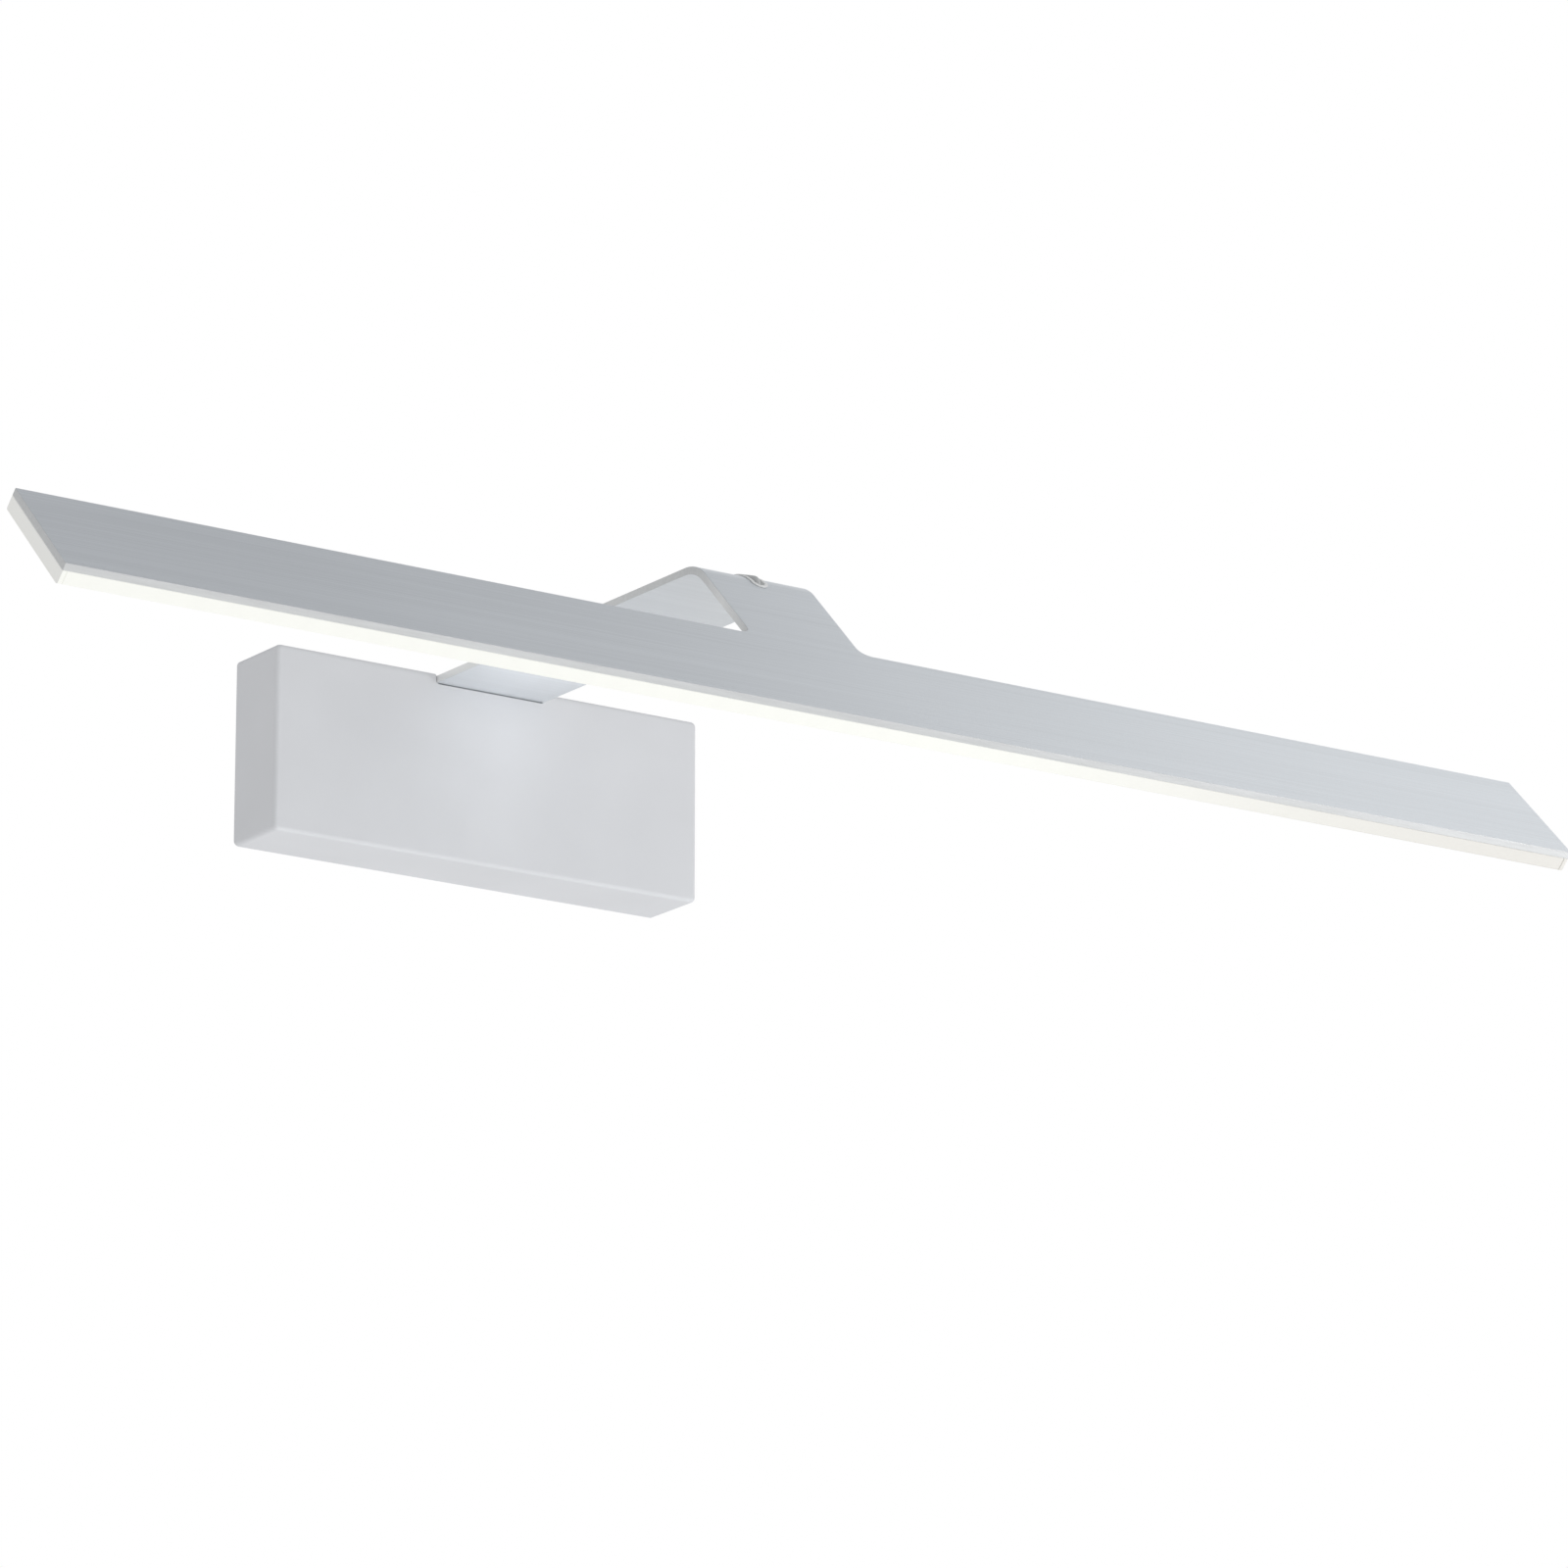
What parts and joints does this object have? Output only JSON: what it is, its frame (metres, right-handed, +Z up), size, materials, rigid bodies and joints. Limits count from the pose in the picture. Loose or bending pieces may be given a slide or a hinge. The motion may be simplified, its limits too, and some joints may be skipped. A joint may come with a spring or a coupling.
{
  "type": "led wall light",
  "caption": "Wall light: a box canopy and a folded metal arm that widens into a long sloping plate, with a slim LED bar and opal diffuser under it.",
  "frame": {"origin": "centre of the wall plate's rear face, on the plane of the wall", "axes": "+X along the lamp, to the right of someone who faces the wall; +Z up; -Y out of the wall into the room, so +Y points into the wall"},
  "size_m": [0.555, 0.2355, 0.0722],
  "materials": {
    "canopy_paint": "satin pale grey powder coat",
    "brushed_plate": "fine lengthwise brushed, clear anodised",
    "zinc_steel": "bright zinc plate",
    "screw_steel": "bright zinc plate",
    "tinned_brass": "tinned",
    "white_plastic": "fine spark texture",
    "block_plastic": "moulded, slightly waxy",
    "clip_plastic": "translucent moulded",
    "pale_rubber": "matt",
    "grey_rubber": "matt",
    "clear_lead": "translucent sheath",
    "wire_brown": "smooth insulation",
    "wire_blue": "smooth insulation",
    "wire_green": "smooth insulation, green with yellow stripes",
    "circuit_board": "solder mask",
    "led_board": "white solder mask",
    "opal_diffuser": "opal, lit from inside",
    "opal_end_cap": "opal, faintly lit"
  },
  "bodies": {
    "root": {"canopy_cover": "canopy_paint", "wall_plate": "zinc_steel", "arm_head_plate": "brushed_plate", "bend_grommet": "pale_rubber", "cover_grommet": "pale_rubber", "mains_entry_bush": "grey_rubber", "cover_screw_left": "screw_steel", "cover_screw_right": "screw_steel", "flange_washer_left": "screw_steel", "flange_washer_right": "screw_steel", "flange_nut_left": "screw_steel", "flange_nut_right": "screw_steel", "driver_screw_left": "screw_steel", "driver_screw_right": "screw_steel", "driver_case": "white_plastic", "driver_board": "circuit_board", "driver_lid": "white_plastic", "terminal_block": "block_plastic", "clamp_screw_lower_1": "screw_steel", "clamp_screw_upper_1": "screw_steel", "clamp_screw_lower_2": "screw_steel", "clamp_screw_upper_2": "screw_steel", "clamp_screw_lower_3": "screw_steel", "clamp_screw_upper_3": "screw_steel", "block_screw": "screw_steel", "earth_lug": "tinned_brass", "earth_screw": "screw_steel", "live_wire": "wire_brown", "neutral_wire": "wire_blue", "earth_wire": "wire_green", "driver_output_lead": "clear_lead", "inline_connector": "white_plastic", "led_lead": "clear_lead", "lead_clip_1": "clip_plastic", "lead_clip_2": "clip_plastic", "led_tray": "zinc_steel", "led_board_right": "led_board", "led_board_left": "led_board", "diffuser_cover": "opal_diffuser", "end_cap_right": "opal_end_cap", "end_cap_left": "opal_end_cap"}
  },
  "joints": []
}
